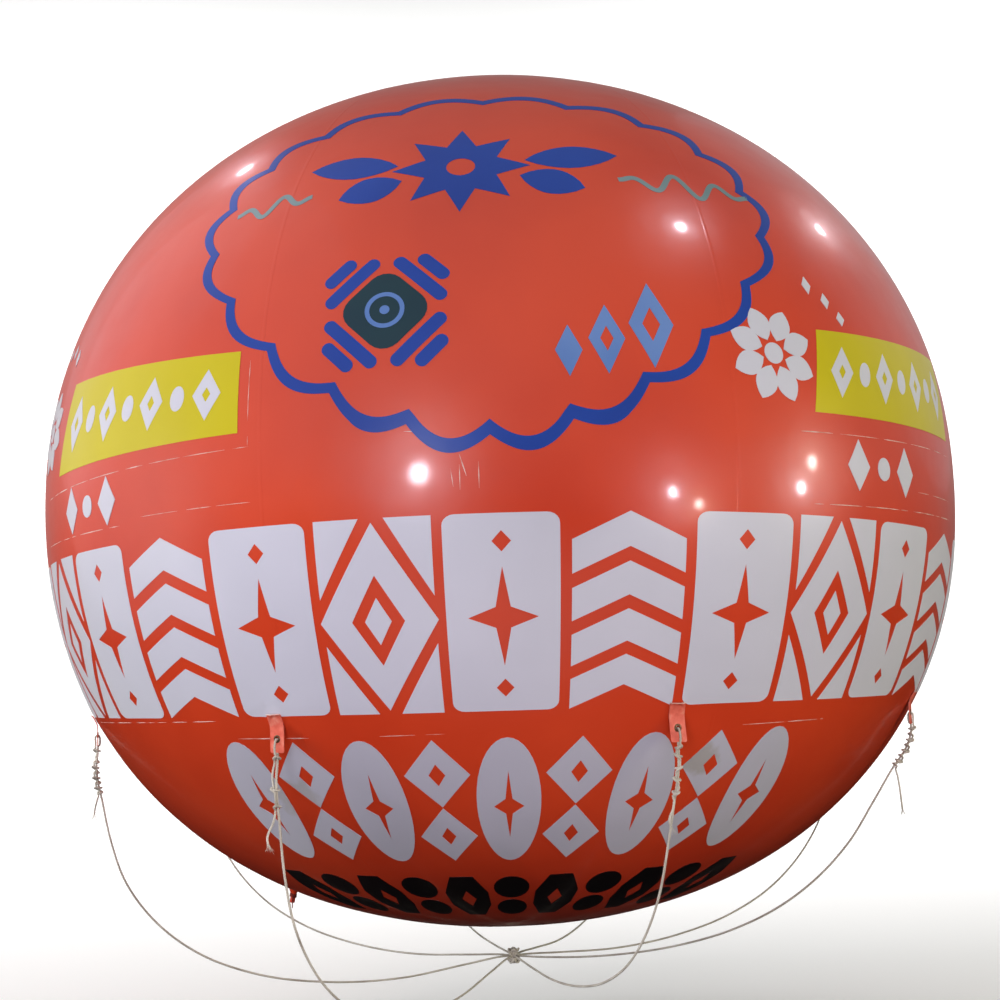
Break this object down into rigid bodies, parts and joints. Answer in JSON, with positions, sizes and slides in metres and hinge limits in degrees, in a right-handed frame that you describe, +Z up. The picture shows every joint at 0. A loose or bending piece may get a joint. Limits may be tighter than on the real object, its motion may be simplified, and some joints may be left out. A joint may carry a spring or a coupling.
{
  "type": "advertising sky balloon",
  "caption": "Round tethered advertising balloon of welded film, with eyelet tabs round its lower half, a slack rope bridle and a tied filling neck.",
  "frame": {"origin": "middle of the envelope, on its axis at the height of its widest girth", "axes": "+Z up along the envelope's axis, -Y to the front with the display artwork, +X to the right seen from the front"},
  "size_m": [3.6602, 3.6602, 3.6054],
  "materials": {
    "skin": "glossy orange-red welded film",
    "tab": "paler folded film strap, satin",
    "eyelet": "dull rolled brass",
    "rope": "off-white twisted rope",
    "film_white": "white glossy display film",
    "film_black": "black glossy display film",
    "film_yellow": "yellow glossy display film",
    "film_blue": "blue glossy display film",
    "film_pale_blue": "pale blue glossy display film",
    "film_teal": "dark green-blue glossy display film"
  },
  "bodies": {
    "root": {"crown_disc": "skin", "upper_gore_1": "skin", "upper_gore_2": "skin", "upper_gore_3": "skin", "upper_gore_4": "skin", "upper_gore_5": "skin", "upper_gore_6": "skin", "upper_gore_7": "skin", "upper_gore_8": "skin", "lower_gore_1": "skin", "lower_gore_2": "skin", "lower_gore_3": "skin", "lower_gore_4": "skin", "lower_gore_5": "skin", "lower_gore_6": "skin", "lower_gore_7": "skin", "lower_gore_8": "skin", "base_disc": "skin", "tether_tab_1": "tab", "tether_tab_2": "tab", "tether_tab_3": "tab", "tether_tab_4": "tab", "tether_tab_5": "tab", "tether_tab_6": "tab", "tether_tab_7": "tab", "tether_tab_8": "tab", "eyelet_1": "eyelet", "eyelet_2": "eyelet", "eyelet_3": "eyelet", "eyelet_4": "eyelet", "eyelet_5": "eyelet", "eyelet_6": "eyelet", "eyelet_7": "eyelet", "eyelet_8": "eyelet", "bridle_rope_1": "rope", "bridle_rope_2": "rope", "bridle_rope_3": "rope", "bridle_rope_4": "rope", "bridle_rope_5": "rope", "bridle_rope_6": "rope", "bridle_rope_7": "rope", "bridle_rope_8": "rope", "bridle_knot": "rope", "neck_patch": "tab", "filling_neck": "skin", "neck_tie": "rope"}
  },
  "joints": []
}
